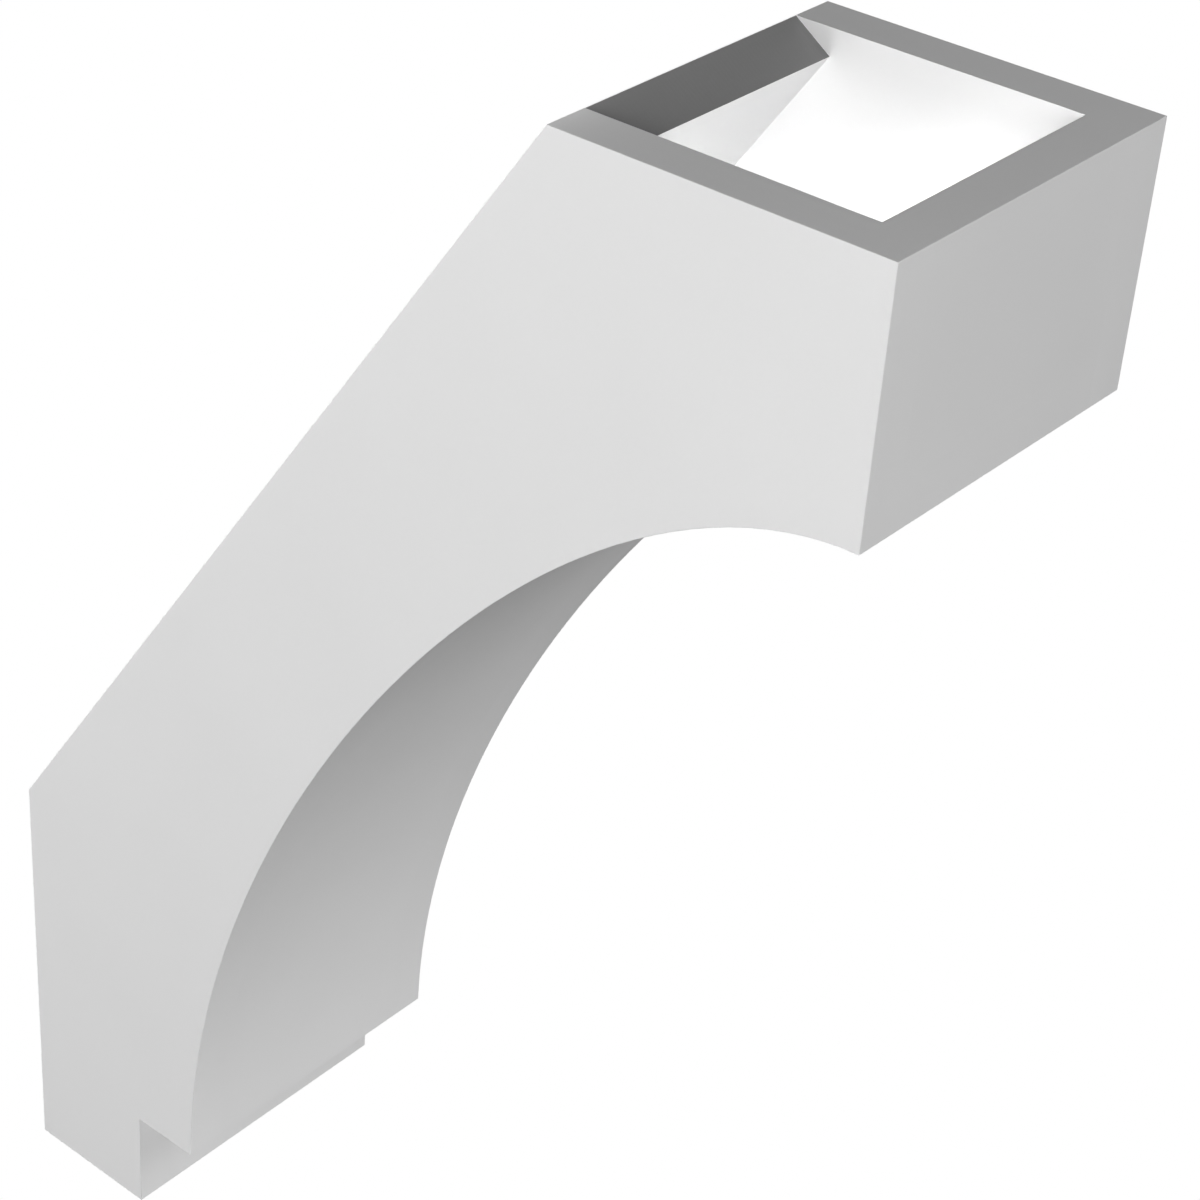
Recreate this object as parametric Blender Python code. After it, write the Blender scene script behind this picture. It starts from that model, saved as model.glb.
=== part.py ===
"""Decorative knee brace: a hollow box glued up from flat boards and one bent board.

X runs out from the wall, Y across the brace and Z up. The origin is on the wall plane, in the middle
of the back edge of the board that closes the foot. Units are metres.
"""
import math

import bmesh
import bpy
from mathutils import Vector

INCH = 0.0254

# Driving dimensions: the overall size and the board stock
WIDTH = 6.0 * INCH
PROJECTION = 16.0 * INCH
HEIGHT = 24.0 * INCH
BOARD = 0.75 * INCH
JOINT_GAP = 0.0003

# The side outline, as shares of the overall size
WALL_HEIGHT = HEIGHT / 3
TOP_BACK = PROJECTION * 2 / 3
FRONT_HEIGHT = HEIGHT / 6
FOOT_DEPTH = PROJECTION / 6
STEP_HEIGHT = HEIGHT / 12
STEP_DEPTH = PROJECTION / 4

# The arch leaves the front end level and meets the step upright. Each pull is the share of the
# arch's span or rise over which it keeps to that direction.
FRONT_PULL = 0.4185
FOOT_PULL = 0.4331
ARCH_FACETS = 56

# Worked out from the sizes above
INNER_WIDTH = WIDTH - 2 * BOARD
INFILL_WIDTH = INNER_WIDTH - 2 * JOINT_GAP
ARCH_FRONT = Vector((PROJECTION, HEIGHT - FRONT_HEIGHT))
ARCH_FOOT = Vector((STEP_DEPTH, STEP_HEIGHT))
ARCH_SPAN = ARCH_FRONT.x - ARCH_FOOT.x
ARCH_RISE = ARCH_FRONT.y - ARCH_FOOT.y

# White boards: the faces are smooth, the sawn and bent ones a little duller
FACE_COLOUR = (0.83, 0.83, 0.82, 1.0)
SAWN_COLOUR = (0.78, 0.78, 0.77, 1.0)
FACE_ROUGHNESS = 0.55
SAWN_ROUGHNESS = 0.75


def clear_scene():
    for old in list(bpy.data.objects):
        bpy.data.objects.remove(old, do_unlink=True)


def make_collection(name):
    collection = bpy.data.collections.new(name)
    bpy.context.scene.collection.children.link(collection)
    return collection


def make_material(name, colour, roughness):
    material = bpy.data.materials.new(name)
    material.use_nodes = True
    shader = material.node_tree.nodes["Principled BSDF"]
    shader.inputs["Base Color"].default_value = colour
    shader.inputs["Roughness"].default_value = roughness
    shader.inputs["Metallic"].default_value = 0.0
    return material


def arch_handles():
    """The four control points of the arch, from the front end down to the step."""
    level = ARCH_FRONT - Vector((ARCH_SPAN * FRONT_PULL, 0.0))
    upright = ARCH_FOOT + Vector((0.0, ARCH_RISE * FOOT_PULL))
    return ARCH_FRONT, level, upright, ARCH_FOOT


def arch_point(t):
    a, b, c, d = arch_handles()
    s = 1.0 - t
    return s**3 * a + 3 * s * s * t * b + 3 * s * t * t * c + t**3 * d


def arch_inward(t):
    """The unit direction from the arch's face into the brace."""
    a, b, c, d = arch_handles()
    s = 1.0 - t
    along = s * s * (b - a) + 2 * s * t * (c - b) + t * t * (d - c)
    along.normalize()
    return Vector((along.y, -along.x))


def arch_line(depth=0.0):
    """Points along the arch, at a depth behind its face, from the front end down."""
    steps = [i / ARCH_FACETS for i in range(ARCH_FACETS + 1)]
    return [arch_point(t) + depth * arch_inward(t) for t in steps]


def side_outline():
    foot = [(0.0, 0.0), (FOOT_DEPTH, 0.0), (FOOT_DEPTH, STEP_HEIGHT)]
    arch = list(reversed(arch_line()))
    top = [(PROJECTION, HEIGHT), (TOP_BACK, HEIGHT), (0.0, WALL_HEIGHT)]
    return foot + arch + top


def soffit_outline():
    """The bent board: the arch outside, the same curve one board deeper inside, square ends."""
    return arch_line() + list(reversed(arch_line(BOARD)))


def add_outline_board(name, outline, thickness, y, collection, parent, material):
    """A board whose side view is the outline, standing upright along the brace."""
    curve = bpy.data.curves.new(name, "CURVE")
    curve.dimensions = "2D"
    curve.fill_mode = "BOTH"
    curve.extrude = thickness / 2
    curve.render_resolution_u = 0
    spline = curve.splines.new("POLY")
    spline.points.add(len(outline) - 1)
    for point, (x, z) in zip(spline.points, outline):
        point.co = (x, z, 0.0, 1.0)
    spline.use_cyclic_u = True
    board = bpy.data.objects.new(name, curve)
    board.location.y = y
    board.rotation_euler.x = math.radians(90)
    return finish_board(board, collection, parent, material)


def add_box_board(name, size, centre, collection, parent, material, tilt=0.0):
    """A straight board. The tilt lifts its far end, about the Y axis."""
    bm = bmesh.new()
    bmesh.ops.create_cube(bm, size=1.0)
    bmesh.ops.scale(bm, vec=size, verts=bm.verts)
    mesh = bpy.data.meshes.new(name)
    bm.to_mesh(mesh)
    bm.free()
    board = bpy.data.objects.new(name, mesh)
    board.location = centre
    board.rotation_euler.y = -tilt
    return finish_board(board, collection, parent, material)


def finish_board(board, collection, parent, material):
    board.data.materials.append(material)
    board.parent = parent
    collection.objects.link(board)
    return board


def add_upright_box(name, low, high, collection, parent, material):
    """A straight board between two corners of the side view, as wide as the hollow."""
    size = (high[0] - low[0], INFILL_WIDTH, high[1] - low[1])
    centre = ((low[0] + high[0]) / 2, 0.0, (low[1] + high[1]) / 2)
    return add_box_board(name, size, centre, collection, parent, material)


def add_side_panels(collection, parent):
    for side, sign in (("left", -1), ("right", 1)):
        name = f"side_panel_{side}"
        material = make_material(name, FACE_COLOUR, FACE_ROUGHNESS)
        y = sign * (WIDTH - BOARD) / 2
        add_outline_board(name, side_outline(), BOARD, y, collection, parent, material)


def add_soffit_board(collection, parent):
    name = "soffit_board"
    material = make_material(name, FACE_COLOUR, FACE_ROUGHNESS)
    add_outline_board(name, soffit_outline(), INFILL_WIDTH, 0.0, collection, parent, material)


def add_front_board(collection, parent):
    """Stands on the bent board and closes the front end."""
    name = "front_board"
    material = make_material(name, FACE_COLOUR, FACE_ROUGHNESS)
    low = (PROJECTION - BOARD, ARCH_FRONT.y + BOARD + JOINT_GAP)
    add_upright_box(name, low, (PROJECTION, HEIGHT), collection, parent, material)


def add_diagonal_board(collection, parent):
    """Lies flush with the slanted back between the side panels. Both its ends are cut square."""
    name = "diagonal_board"
    material = make_material(name, SAWN_COLOUR, SAWN_ROUGHNESS)
    slope = Vector((TOP_BACK, HEIGHT - WALL_HEIGHT))
    along = slope.normalized()
    inward = Vector((along.y, -along.x))
    middle = Vector((0.0, WALL_HEIGHT)) + slope / 2 + inward * BOARD / 2
    tilt = math.atan2(slope.y, slope.x)
    size = (slope.length, INFILL_WIDTH, BOARD)
    add_box_board(name, size, (middle.x, 0.0, middle.y), collection, parent, material, tilt)


def add_foot_boards(collection, parent):
    """Close the front of the foot, the underside of the step and the underside of the foot."""
    foot_back = FOOT_DEPTH - BOARD
    soffit_back = STEP_DEPTH - BOARD
    boards = {
        "foot_board": ((foot_back, 0.0), (FOOT_DEPTH, STEP_HEIGHT - JOINT_GAP)),
        "ledge_board": ((foot_back, STEP_HEIGHT), (soffit_back - JOINT_GAP, STEP_HEIGHT + BOARD)),
        "bottom_board": ((0.0, 0.0), (foot_back - JOINT_GAP, BOARD)),
    }
    for name, (low, high) in boards.items():
        material = make_material(name, FACE_COLOUR, FACE_ROUGHNESS)
        add_upright_box(name, low, high, collection, parent, material)


def build():
    clear_scene()
    collection = make_collection("knee_brace")
    underside = bpy.data.objects.new("foot_underside_at_wall", None)
    underside.location.z = -BOARD / 2
    collection.objects.link(underside)
    add_side_panels(collection, underside)
    add_soffit_board(collection, underside)
    add_front_board(collection, underside)
    add_diagonal_board(collection, underside)
    add_foot_boards(collection, underside)


build()
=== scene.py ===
import math

import bmesh
import bpy
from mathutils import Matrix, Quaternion, Vector


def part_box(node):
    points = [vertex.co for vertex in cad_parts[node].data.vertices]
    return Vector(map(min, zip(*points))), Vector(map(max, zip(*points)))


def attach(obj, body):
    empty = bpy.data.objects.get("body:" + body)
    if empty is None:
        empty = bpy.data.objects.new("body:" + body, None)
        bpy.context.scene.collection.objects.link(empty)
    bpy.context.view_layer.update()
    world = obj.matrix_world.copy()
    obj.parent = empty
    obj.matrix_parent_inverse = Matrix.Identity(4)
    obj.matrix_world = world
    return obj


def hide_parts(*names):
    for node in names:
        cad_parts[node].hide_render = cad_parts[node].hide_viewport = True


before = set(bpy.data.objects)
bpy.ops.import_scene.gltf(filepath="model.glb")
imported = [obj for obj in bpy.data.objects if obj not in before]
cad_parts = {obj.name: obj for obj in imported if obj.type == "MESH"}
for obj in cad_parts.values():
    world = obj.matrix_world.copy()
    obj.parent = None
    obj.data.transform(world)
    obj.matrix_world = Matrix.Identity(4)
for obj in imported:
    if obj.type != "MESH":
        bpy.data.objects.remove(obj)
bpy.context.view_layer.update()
print("frame loaded:", len(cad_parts), "boards")

up = Vector((0.0, 0.0, 1.0))
across = Vector((0.0, 1.0, 0.0))
outward = Vector((1.0, 0.0, 0.0))


# shared effects, each a node group with its own inputs

def newGroup(name, inputs, outputs):
    group = bpy.data.node_groups.new(name, "ShaderNodeTree")
    for label, kind, value in inputs:
        socket = group.interface.new_socket(label, in_out="INPUT", socket_type=kind)
        if value is not None:
            socket.default_value = value
    for label, kind in outputs:
        group.interface.new_socket(label, in_out="OUTPUT", socket_type=kind)
    start = group.nodes.new("NodeGroupInput")
    end = group.nodes.new("NodeGroupOutput")
    return group, start, end


def mathNode(tree, operation, first, second=None, third=None, clamp=False):
    node = tree.nodes.new("ShaderNodeMath")
    node.operation = operation
    node.use_clamp = clamp
    for socket, value in zip(node.inputs, (first, second, third)):
        if value is None:
            continue
        if isinstance(value, (int, float)):
            socket.default_value = value
        else:
            tree.links.new(value, socket)
    return node.outputs[0]


def noiseNode(tree, vector, scale, detail=2.0):
    node = tree.nodes.new("ShaderNodeTexNoise")
    node.inputs["Detail"].default_value = detail
    tree.links.new(vector, node.inputs["Vector"])
    if isinstance(scale, (int, float)):
        node.inputs["Scale"].default_value = scale
    else:
        tree.links.new(scale, node.inputs["Scale"])
    return node.outputs["Fac"]


# a plastic board's rolled skin: fine orange peel over long shallow waves, with a faint change of tone
skinMix = {"fleck": 0.3, "wave": 0.7}


def makeBoardSkin():
    group, start, end = newGroup(
        "boardSkin",
        [
            ("Vector", "NodeSocketVector", None),
            ("Peel Scale", "NodeSocketFloat", 900.0),
            ("Wave Scale", "NodeSocketFloat", 22.0),
            ("Wave Share", "NodeSocketFloat", 0.5),
        ],
        [("Height", "NodeSocketFloat"), ("Tone", "NodeSocketFloat")],
    )
    peel = noiseNode(group, start.outputs["Vector"], start.outputs["Peel Scale"], detail=3.0)
    wave = noiseNode(group, start.outputs["Vector"], start.outputs["Wave Scale"], detail=1.0)
    lowWave = mathNode(group, "MULTIPLY", wave, start.outputs["Wave Share"])
    height = mathNode(group, "ADD", peel, lowWave)
    fleck = mathNode(group, "MULTIPLY", peel, skinMix["fleck"])
    tone = mathNode(group, "MULTIPLY_ADD", wave, skinMix["wave"], fleck)
    group.links.new(height, end.inputs["Height"])
    group.links.new(tone, end.inputs["Tone"])
    return group


# where the filled joint between a side panel and the board beside it was sanded flush
jointMix = {"raggedScale": 60.0, "fade": 0.5, "scratchStretch": (0.12, 1.0, 0.12)}


def makeSandedJoint():
    group, start, end = newGroup(
        "sandedJoint",
        [
            ("Vector", "NodeSocketVector", None),
            ("Facing", "NodeSocketVector", None),
            ("Joint Place", "NodeSocketFloat", 0.057),
            ("Band", "NodeSocketFloat", 0.008),
            ("Scratch Scale", "NodeSocketFloat", 260.0),
        ],
        [("Mask", "NodeSocketFloat"), ("Scratches", "NodeSocketFloat")],
    )
    split = group.nodes.new("ShaderNodeSeparateXYZ")
    group.links.new(start.outputs["Vector"], split.inputs[0])
    side = mathNode(group, "ABSOLUTE", split.outputs["Y"])
    gap = mathNode(group, "SUBTRACT", side, start.outputs["Joint Place"])
    ragged = noiseNode(group, start.outputs["Vector"], jointMix["raggedScale"])
    raggedBand = mathNode(group, "MULTIPLY", ragged, start.outputs["Band"])
    far = mathNode(group, "DIVIDE", mathNode(group, "ABSOLUTE", gap), raggedBand)
    faded = mathNode(group, "MULTIPLY", far, jointMix["fade"])
    band = mathNode(group, "SUBTRACT", 1.0, faded, clamp=True)
    facing = group.nodes.new("ShaderNodeSeparateXYZ")
    group.links.new(start.outputs["Facing"], facing.inputs[0])
    sideways = mathNode(group, "ABSOLUTE", facing.outputs["Y"])
    away = mathNode(group, "SUBTRACT", 1.0, sideways, clamp=True)
    mask = mathNode(group, "MULTIPLY", band, away)
    stretch = group.nodes.new("ShaderNodeMapping")
    stretch.inputs["Scale"].default_value = jointMix["scratchStretch"]
    group.links.new(start.outputs["Vector"], stretch.inputs["Vector"])
    lines = noiseNode(group, stretch.outputs[0], start.outputs["Scratch Scale"], detail=4.0)
    scratches = mathNode(group, "MULTIPLY", lines, mask)
    group.links.new(mask, end.inputs["Mask"])
    group.links.new(scratches, end.inputs["Scratches"])
    return group


# the ridges that a saw leaves across a cut, and the open cells of the board's core
coreMix = {"distortion": 1.5, "detail": 2.0, "detailScale": 0.6, "pitSlope": 6.0}


def makeSawnCore():
    group, start, end = newGroup(
        "sawnCore",
        [
            ("Vector", "NodeSocketVector", None),
            ("Ridge Scale", "NodeSocketFloat", 120.0),
            ("Cell Scale", "NodeSocketFloat", 700.0),
            ("Cell Size", "NodeSocketFloat", 0.22),
        ],
        [("Height", "NodeSocketFloat"), ("Cells", "NodeSocketFloat")],
    )
    ridges = group.nodes.new("ShaderNodeTexWave")
    ridges.bands_direction = "Y"
    ridges.inputs["Distortion"].default_value = coreMix["distortion"]
    ridges.inputs["Detail"].default_value = coreMix["detail"]
    ridges.inputs["Detail Scale"].default_value = coreMix["detailScale"]
    group.links.new(start.outputs["Vector"], ridges.inputs["Vector"])
    group.links.new(start.outputs["Ridge Scale"], ridges.inputs["Scale"])
    cells = group.nodes.new("ShaderNodeTexVoronoi")
    group.links.new(start.outputs["Vector"], cells.inputs["Vector"])
    group.links.new(start.outputs["Cell Scale"], cells.inputs["Scale"])
    depth = mathNode(group, "SUBTRACT", start.outputs["Cell Size"], cells.outputs["Distance"])
    pits = mathNode(group, "MULTIPLY", depth, coreMix["pitSlope"], clamp=True)
    height = mathNode(group, "SUBTRACT", ridges.outputs["Fac"], pits)
    group.links.new(height, end.inputs["Height"])
    group.links.new(pits, end.inputs["Cells"])
    return group


boardSkin = makeBoardSkin()
sandedJoint = makeSandedJoint()
sawnCore = makeSawnCore()
print("shared effects made")


def startMaterial(name):
    material = bpy.data.materials.new(name)
    material.use_nodes = True
    tree = material.node_tree
    shader = tree.nodes["Principled BSDF"]
    coordinates = tree.nodes.new("ShaderNodeTexCoord")
    return material, tree, shader, coordinates


def useGroup(tree, group, coordinates, values):
    node = tree.nodes.new("ShaderNodeGroup")
    node.node_tree = group
    tree.links.new(coordinates.outputs["Object"], node.inputs["Vector"])
    for label, value in values.items():
        node.inputs[label].default_value = value
    return node


# tone runs between two close greys, by a mask that varies over the board
def toneColour(tree, shader, mask, dark, light):
    mix = tree.nodes.new("ShaderNodeMix")
    mix.data_type = "RGBA"
    mix.inputs["A"].default_value = (*dark, 1.0)
    mix.inputs["B"].default_value = (*light, 1.0)
    tree.links.new(mask, mix.inputs["Factor"])
    tree.links.new(mix.outputs["Result"], shader.inputs["Base Color"])


def bumpFrom(tree, shader, height, depth):
    bump = tree.nodes.new("ShaderNodeBump")
    bump.inputs["Distance"].default_value = depth
    tree.links.new(height, bump.inputs["Height"])
    tree.links.new(bump.outputs["Normal"], shader.inputs["Normal"])


# the white face of a board, smooth and matt, with its joints filled and sanded
def whiteFace(name, look):
    material, tree, shader, coordinates = startMaterial(name)
    skin = useGroup(tree, boardSkin, coordinates, look["skin"])
    joint = useGroup(tree, sandedJoint, coordinates, look["joint"])
    tree.links.new(coordinates.outputs["Normal"], joint.inputs["Facing"])
    toneColour(tree, shader, skin.outputs["Tone"], look["dark"], look["light"])
    rough = mathNode(tree, "MULTIPLY", joint.outputs["Mask"], look["sandedRoughness"])
    rough = mathNode(tree, "ADD", rough, look["roughness"])
    tree.links.new(rough, shader.inputs["Roughness"])
    scratched = mathNode(tree, "MULTIPLY", joint.outputs["Scratches"], look["scratchShare"])
    height = mathNode(tree, "ADD", skin.outputs["Height"], scratched)
    bumpFrom(tree, shader, height, look["depth"])
    return material


# a bare cut across a board: rougher than the face, with saw ridges and open cells, in the two greys
# that it is given
def sawnFace(name, look):
    material, tree, shader, coordinates = startMaterial(name)
    core = useGroup(tree, sawnCore, coordinates, look["core"])
    skin = useGroup(tree, boardSkin, coordinates, look["skin"])
    ridgeShade = mathNode(tree, "MULTIPLY", core.outputs["Height"], look["ridgeTone"])
    skinShade = mathNode(tree, "MULTIPLY", skin.outputs["Tone"], look["skinTone"])
    shade = mathNode(tree, "ADD", ridgeShade, skinShade)
    toneColour(tree, shader, shade, look["dark"], look["light"])
    rough = mathNode(
        tree, "MULTIPLY_ADD", core.outputs["Cells"], look["cellRoughness"], look["roughness"],
    )
    tree.links.new(rough, shader.inputs["Roughness"])
    bumpFrom(tree, shader, core.outputs["Height"], look["depth"])
    return material


# pieces: every board starts as a merged copy of its solid, closed up to its neighbours

glue = {"gap": 0.0003}
ease = {"width": 0.00025, "segments": 2, "corner": math.radians(20), "near": 0.001}
merge = {"distance": 0.00001, "flat": math.radians(0.2), "sharp": math.radians(6)}
agree = {"edge": 0.999, "cutEnd": 0.99, "neighbour": 0.9}  # how nearly two directions are the same

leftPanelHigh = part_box("side_panel_left")[1]
rightPanelLow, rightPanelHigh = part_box("side_panel_right")
innerWidth = rightPanelLow.y - leftPanelHigh.y
jointPlace = innerWidth / 2
outerPlace = rightPanelHigh.y


def mergedCopy(nodeName):
    bm = bmesh.new()
    bm.from_mesh(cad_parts[nodeName].data)
    bmesh.ops.remove_doubles(bm, verts=bm.verts, dist=merge["distance"])
    bmesh.ops.dissolve_limit(bm, angle_limit=merge["flat"], verts=bm.verts, edges=bm.edges)
    bm.normal_update()
    return bm


def isAcross(edge):
    along = (edge.verts[0].co - edge.verts[1].co).normalized()
    return abs(along.dot(across)) > agree["edge"]


# the corners that stand out in the side view, which run across the whole brace
def findCorners():
    bm = mergedCopy("side_panel_left")
    corners = []
    for edge in bm.edges:
        if isAcross(edge) and edge.calc_face_angle_signed(0.0) > ease["corner"]:
            corners.append(edge.verts[0].co.xz)
    bm.free()
    return corners


outlineCorners = findCorners()


def isOutlineCorner(edge):
    place = edge.verts[0].co.xz
    return isAcross(edge) and any((place - corner).length < ease["near"] for corner in outlineCorners)


def isOuterRim(edge):
    onFace = all(abs(abs(vert.co.y) - outerPlace) < merge["distance"] for vert in edge.verts)
    return onFace and edge.calc_face_angle(0.0) > ease["corner"]


def easeEdges(bm):
    edges = [edge for edge in bm.edges if isOutlineCorner(edge) or isOuterRim(edge)]
    bmesh.ops.bevel(
        bm, geom=edges, offset=ease["width"], offset_type="OFFSET", affect="EDGES",
        segments=ease["segments"], profile=0.5, material=-1, clamp_overlap=True,
    )


def fitBetweenPanels(bm):
    width = 2 * max(vert.co.y for vert in bm.verts)
    bmesh.ops.scale(bm, vec=(1.0, innerWidth / width, 1.0), verts=bm.verts)


# the side that faces a neighbour moves up to it
def closeGap(bm, direction):
    facing = [face for face in bm.faces if face.normal.dot(direction) > agree["neighbour"]]
    moving = list({vert for face in facing for vert in face.verts})
    bmesh.ops.translate(bm, vec=direction * glue["gap"], verts=moving)


def finishPiece(bm, pieceName, nodeName, materials):
    mesh = bpy.data.meshes.new(pieceName)
    bm.to_mesh(mesh)
    bm.free()
    # the solid's own corner normals no longer fit the merged faces
    mesh.attributes.remove(mesh.attributes["custom_normal"])
    for material in materials:
        mesh.materials.append(material)
    mesh.shade_smooth()
    mesh.set_sharp_from_angle(angle=merge["sharp"])
    piece = bpy.data.objects.new(pieceName, mesh)
    bpy.context.scene.collection.objects.link(piece)
    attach(piece, "root")
    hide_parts(nodeName)


# the two side panels, which carry the whole outline
sidePanel = {
    "dark": (0.80, 0.80, 0.80),
    "light": (0.84, 0.84, 0.84),
    "roughness": 0.52,
    "sandedRoughness": 0.04,
    "scratchShare": 0.2,
    "depth": 0.00003,
    "skin": {"Peel Scale": 900.0, "Wave Scale": 14.0, "Wave Share": 2.0},
    "joint": {"Joint Place": jointPlace, "Band": 0.008, "Scratch Scale": 260.0},
}


def makeSidePanels():
    material = whiteFace("sidePanelFace", sidePanel)
    for side in ("left", "right"):
        nodeName = f"side_panel_{side}"
        bm = mergedCopy(nodeName)
        easeEdges(bm)
        finishPiece(bm, "sidePanel" + side.capitalize(), nodeName, [material])


makeSidePanels()
print("side panels made")

# the bent board under the arch
soffitBoard = {
    "dark": (0.80, 0.80, 0.80),
    "light": (0.84, 0.84, 0.84),
    "roughness": 0.55,
    "sandedRoughness": 0.03,
    "scratchShare": 0.2,
    "depth": 0.00003,
    "skin": {"Peel Scale": 800.0, "Wave Scale": 18.0, "Wave Share": 2.5},
    "joint": {"Joint Place": jointPlace, "Band": 0.010, "Scratch Scale": 240.0},
}


def makeSoffitBoard():
    bm = mergedCopy("soffit_board")
    fitBetweenPanels(bm)
    easeEdges(bm)
    material = whiteFace("soffitFace", soffitBoard)
    finishPiece(bm, "soffitBoard", "soffit_board", [material])


makeSoffitBoard()
print("soffit made")

# the board that closes the front end
frontBoard = {
    "dark": (0.80, 0.80, 0.80),
    "light": (0.84, 0.84, 0.84),
    "roughness": 0.50,
    "sandedRoughness": 0.04,
    "scratchShare": 0.25,
    "depth": 0.00003,
    "skin": {"Peel Scale": 950.0, "Wave Scale": 16.0, "Wave Share": 1.8},
    "joint": {"Joint Place": jointPlace, "Band": 0.008, "Scratch Scale": 280.0},
}


def makeFrontBoard():
    bm = mergedCopy("front_board")
    fitBetweenPanels(bm)
    closeGap(bm, -up)
    easeEdges(bm)
    material = whiteFace("frontFace", frontBoard)
    finishPiece(bm, "frontBoard", "front_board", [material])


makeFrontBoard()

# the board behind the slanted back, with its square-cut ends left bare and painted dark grey as
# painted shade
diagonalBoard = {
    "dark": (0.80, 0.80, 0.80),
    "light": (0.84, 0.84, 0.84),
    "roughness": 0.54,
    "sandedRoughness": 0.03,
    "scratchShare": 0.2,
    "depth": 0.00003,
    "skin": {"Peel Scale": 850.0, "Wave Scale": 15.0, "Wave Share": 2.0},
    "joint": {"Joint Place": jointPlace, "Band": 0.009, "Scratch Scale": 250.0},
}
# the cut ends' dark greys are painted shade, far darker than the white board itself
diagonalEndPaintedShade = {
    "dark": (0.205, 0.205, 0.205),
    "light": (0.245, 0.245, 0.245),
    "roughness": 0.72,
    "cellRoughness": 0.15,
    "ridgeTone": 0.06,
    "skinTone": 0.5,
    "depth": 0.000012,
    "core": {"Ridge Scale": 160.0, "Cell Scale": 900.0, "Cell Size": 0.2},
    "skin": {"Peel Scale": 600.0, "Wave Scale": 30.0, "Wave Share": 1.0},
}


def makeDiagonalBoard():
    bm = mergedCopy("diagonal_board")
    fitBetweenPanels(bm)
    longest = max(bm.edges, key=lambda edge: edge.calc_length())
    along = (longest.verts[0].co - longest.verts[1].co).normalized()
    easeEdges(bm)
    # the square-cut ends take the dark painted-shade material
    for face in bm.faces:
        if abs(face.normal.dot(along)) > agree["cutEnd"]:
            face.material_index = 1
    materials = [whiteFace("diagonalFace", diagonalBoard), sawnFace("diagonalCutPaintedShade", diagonalEndPaintedShade)]
    finishPiece(bm, "diagonalBoard", "diagonal_board", materials)


makeDiagonalBoard()
print("front and slanted back made")

# the three small boards of the foot, each with the neighbour that it is glued to
footBoards = {
    "looks": {
        "dark": (0.80, 0.80, 0.80),
        "light": (0.84, 0.84, 0.84),
        "roughness": 0.53,
        "sandedRoughness": 0.04,
        "scratchShare": 0.25,
        "depth": 0.00003,
        "skin": {"Peel Scale": 920.0, "Wave Scale": 20.0, "Wave Share": 1.6},
        "joint": {"Joint Place": jointPlace, "Band": 0.007, "Scratch Scale": 300.0},
    },
    "neighbours": {"foot_board": up, "ledge_board": outward, "bottom_board": outward},
}


def makeFootBoards():
    material = whiteFace("footFace", footBoards["looks"])
    for nodeName, direction in footBoards["neighbours"].items():
        bm = mergedCopy(nodeName)
        fitBetweenPanels(bm)
        closeGap(bm, direction)
        easeEdges(bm)
        first, second = nodeName.split("_")
        finishPiece(bm, first + second.capitalize(), nodeName, [material])


makeFootBoards()
print("foot made")

# a plain white floor well below the brace, as even as a lit studio sweep
studioFloor = {"size": 40.0, "height": -2.0, "white": 1.0}


def plainWhite(name, strength):
    material = bpy.data.materials.new(name)
    material.use_nodes = True
    tree = material.node_tree
    tree.nodes.remove(tree.nodes["Principled BSDF"])
    glow = tree.nodes.new("ShaderNodeEmission")
    glow.inputs["Strength"].default_value = strength
    tree.links.new(glow.outputs[0], tree.nodes["Material Output"].inputs["Surface"])
    return material


def makeFloor():
    bm = bmesh.new()
    bmesh.ops.create_grid(bm, x_segments=1, y_segments=1, size=studioFloor["size"] / 2)
    bmesh.ops.translate(bm, vec=up * studioFloor["height"], verts=bm.verts)
    mesh = bpy.data.meshes.new("studioFloor")
    bm.to_mesh(mesh)
    bm.free()
    mesh.materials.append(plainWhite("floorWhite", studioFloor["white"]))
    floor = bpy.data.objects.new("studioFloor", mesh)
    floor.visible_diffuse = False
    floor.visible_glossy = False
    bpy.context.scene.collection.objects.link(floor)


makeFloor()

# soft studio lights: each stands at a turn and a rise from the middle of the brace, and faces it
studio = {
    "middle": Vector((0.2, 0.0, 0.33)),
    "distance": 2.5,
    "size": 1.2,
    "spread": 180,
    "lights": {
        "key": {"turn": -60, "rise": 20, "power": 27.4},
        "keyHigh": {"turn": -60, "rise": 35, "power": 9.8},
        "keyLow": {"turn": -60, "rise": 5, "power": 7.3},
        "front": {"turn": 15, "rise": 40, "power": 14.8},
        "wallSide": {"turn": -150, "rise": 0, "power": 40.0},
        "farSide": {"turn": 90, "rise": 0, "power": 32.0},
        "bounce": {"turn": 30, "rise": -50, "power": 15.6},
    },
}

# small lamps on the inner side of the near panel, which brighten the hollow's far wall
hollow = {
    "back": -0.0567,
    "lights": {
        "upper": {"out": 0.285, "height": 0.540, "size": 0.05, "spread": 180, "power": 0.0340},
        "lower": {"out": 0.265, "height": 0.485, "size": 0.05, "spread": 90, "power": 0.0275},
        "middle": {"out": 0.335, "height": 0.540, "size": 0.05, "spread": 50, "power": 0.0074},
        "front": {"out": 0.375, "height": 0.560, "size": 0.02, "spread": 50, "power": 0.0074},
    },
}

# three more close to the brace: below the foot, before the slanted board's inner side, and behind
# the near rim's rear tip
nearby = {
    "foot": {
        "place": Vector((0.3000, -0.0200, -0.1200)),
        "facing": Vector((-1.0, 0.0, 1.0)),
        "size": 0.2,
        "spread": 180,
        "power": 0.0230,
    },
    "slant": {
        "place": Vector((0.3143, 0.0030, 0.5497)),
        "facing": Vector((-0.832, 0.0, 0.555)),
        "size": 0.02,
        "spread": 110,
        "power": 0.0009,
    },
    "rimTip": {
        "place": Vector((0.2565, -0.0620, 0.6150)),
        "facing": outward,
        "size": 0.01,
        "spread": 180,
        "power": 0.00145,
    },
}


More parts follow.
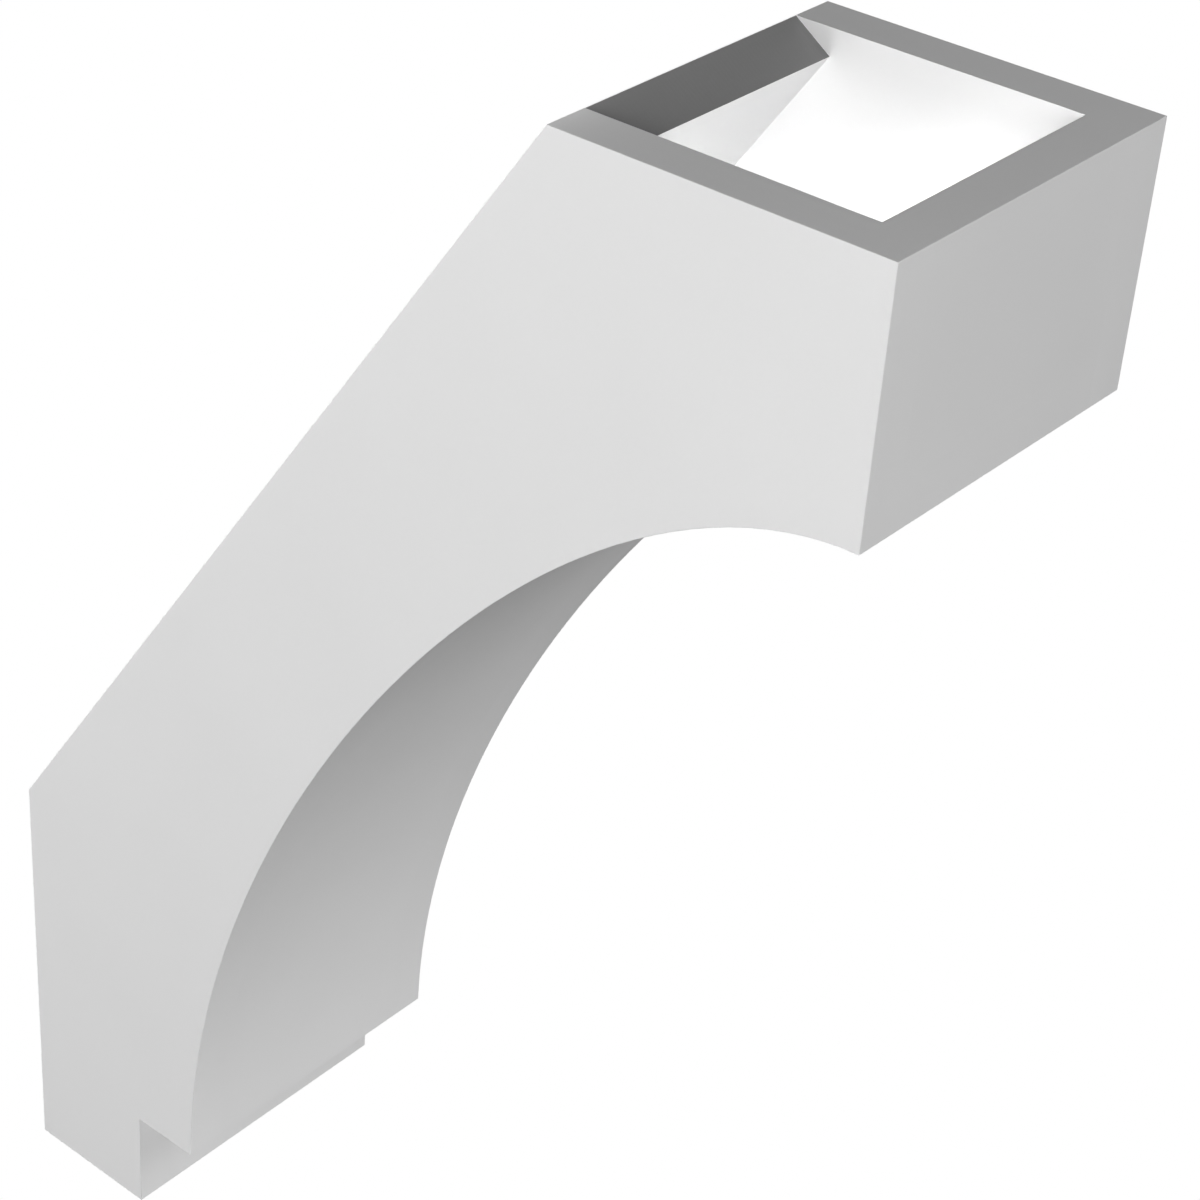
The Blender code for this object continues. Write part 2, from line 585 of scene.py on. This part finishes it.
def addLight(name, place, facing, size, spread, power):
    data = bpy.data.lights.new(name, "AREA")
    data.shape = "DISK"
    data.size = size
    data.spread = math.radians(spread)
    data.energy = power
    lamp = bpy.data.objects.new(name, data)
    lamp.location = place
    lamp.rotation_mode = "QUATERNION"
    lamp.rotation_quaternion = facing.to_track_quat("-Z", "Y")
    lamp.visible_camera = False
    bpy.context.scene.collection.objects.link(lamp)


def makeStudioLights():
    for name, light in studio["lights"].items():
        turn, rise = math.radians(light["turn"]), math.radians(light["rise"])
        level = Vector((math.cos(turn), math.sin(turn), 0.0))
        away = math.cos(rise) * level + math.sin(rise) * up
        place = studio["middle"] + studio["distance"] * away
        addLight(name, place, -away, studio["size"], studio["spread"], light["power"])


def makeSmallLamps():
    for name, lamp in hollow["lights"].items():
        place = Vector((lamp["out"], hollow["back"], lamp["height"]))
        addLight(
            "hollow" + name.capitalize(), place, across, lamp["size"], lamp["spread"], lamp["power"],
        )
    for name, lamp in nearby.items():
        addLight(
            name + "Lamp", lamp["place"], lamp["facing"], lamp["size"], lamp["spread"], lamp["power"],
        )


# the camera sees a white backdrop, which doesn't light the brace
def makeBackdrop():
    world = bpy.data.worlds.new("backdrop")
    bpy.context.scene.world = world
    world.use_nodes = True
    tree = world.node_tree
    glow = tree.nodes["Background"]
    rays = tree.nodes.new("ShaderNodeLightPath")
    glow.inputs["Color"].default_value = (1.0, 1.0, 1.0, 1.0)
    tree.links.new(rays.outputs["Is Camera Ray"], glow.inputs["Strength"])


makeStudioLights()
makeSmallLamps()
makeBackdrop()
bpy.context.scene.view_settings.view_transform = "Standard"
print("studio lit")

# the camera stands where the photograph's did, with a part of its lens shift
view = {
    "place": Vector((0.82639, -0.76375, 0.99106)),
    "aim": Vector((0.15086, -0.01263, 0.33469)),
    "roll": math.radians(1.84),
    "lens": 89.781,
    "shift": (0.18, 0.0),
    "near": 0.05,
    "far": 60.0,
}


def makeCamera():
    data = bpy.data.cameras.new("photoCamera")
    data.lens = view["lens"]
    data.shift_x, data.shift_y = view["shift"]
    data.clip_start = view["near"]
    data.clip_end = view["far"]
    camera = bpy.data.objects.new("photoCamera", data)
    level = (view["aim"] - view["place"]).to_track_quat("-Z", "Y")
    camera.rotation_mode = "QUATERNION"
    camera.rotation_quaternion = level @ Quaternion(up, view["roll"])
    camera.location = view["place"]
    bpy.context.scene.collection.objects.link(camera)
    bpy.context.scene.camera = camera


makeCamera()
print("camera placed")
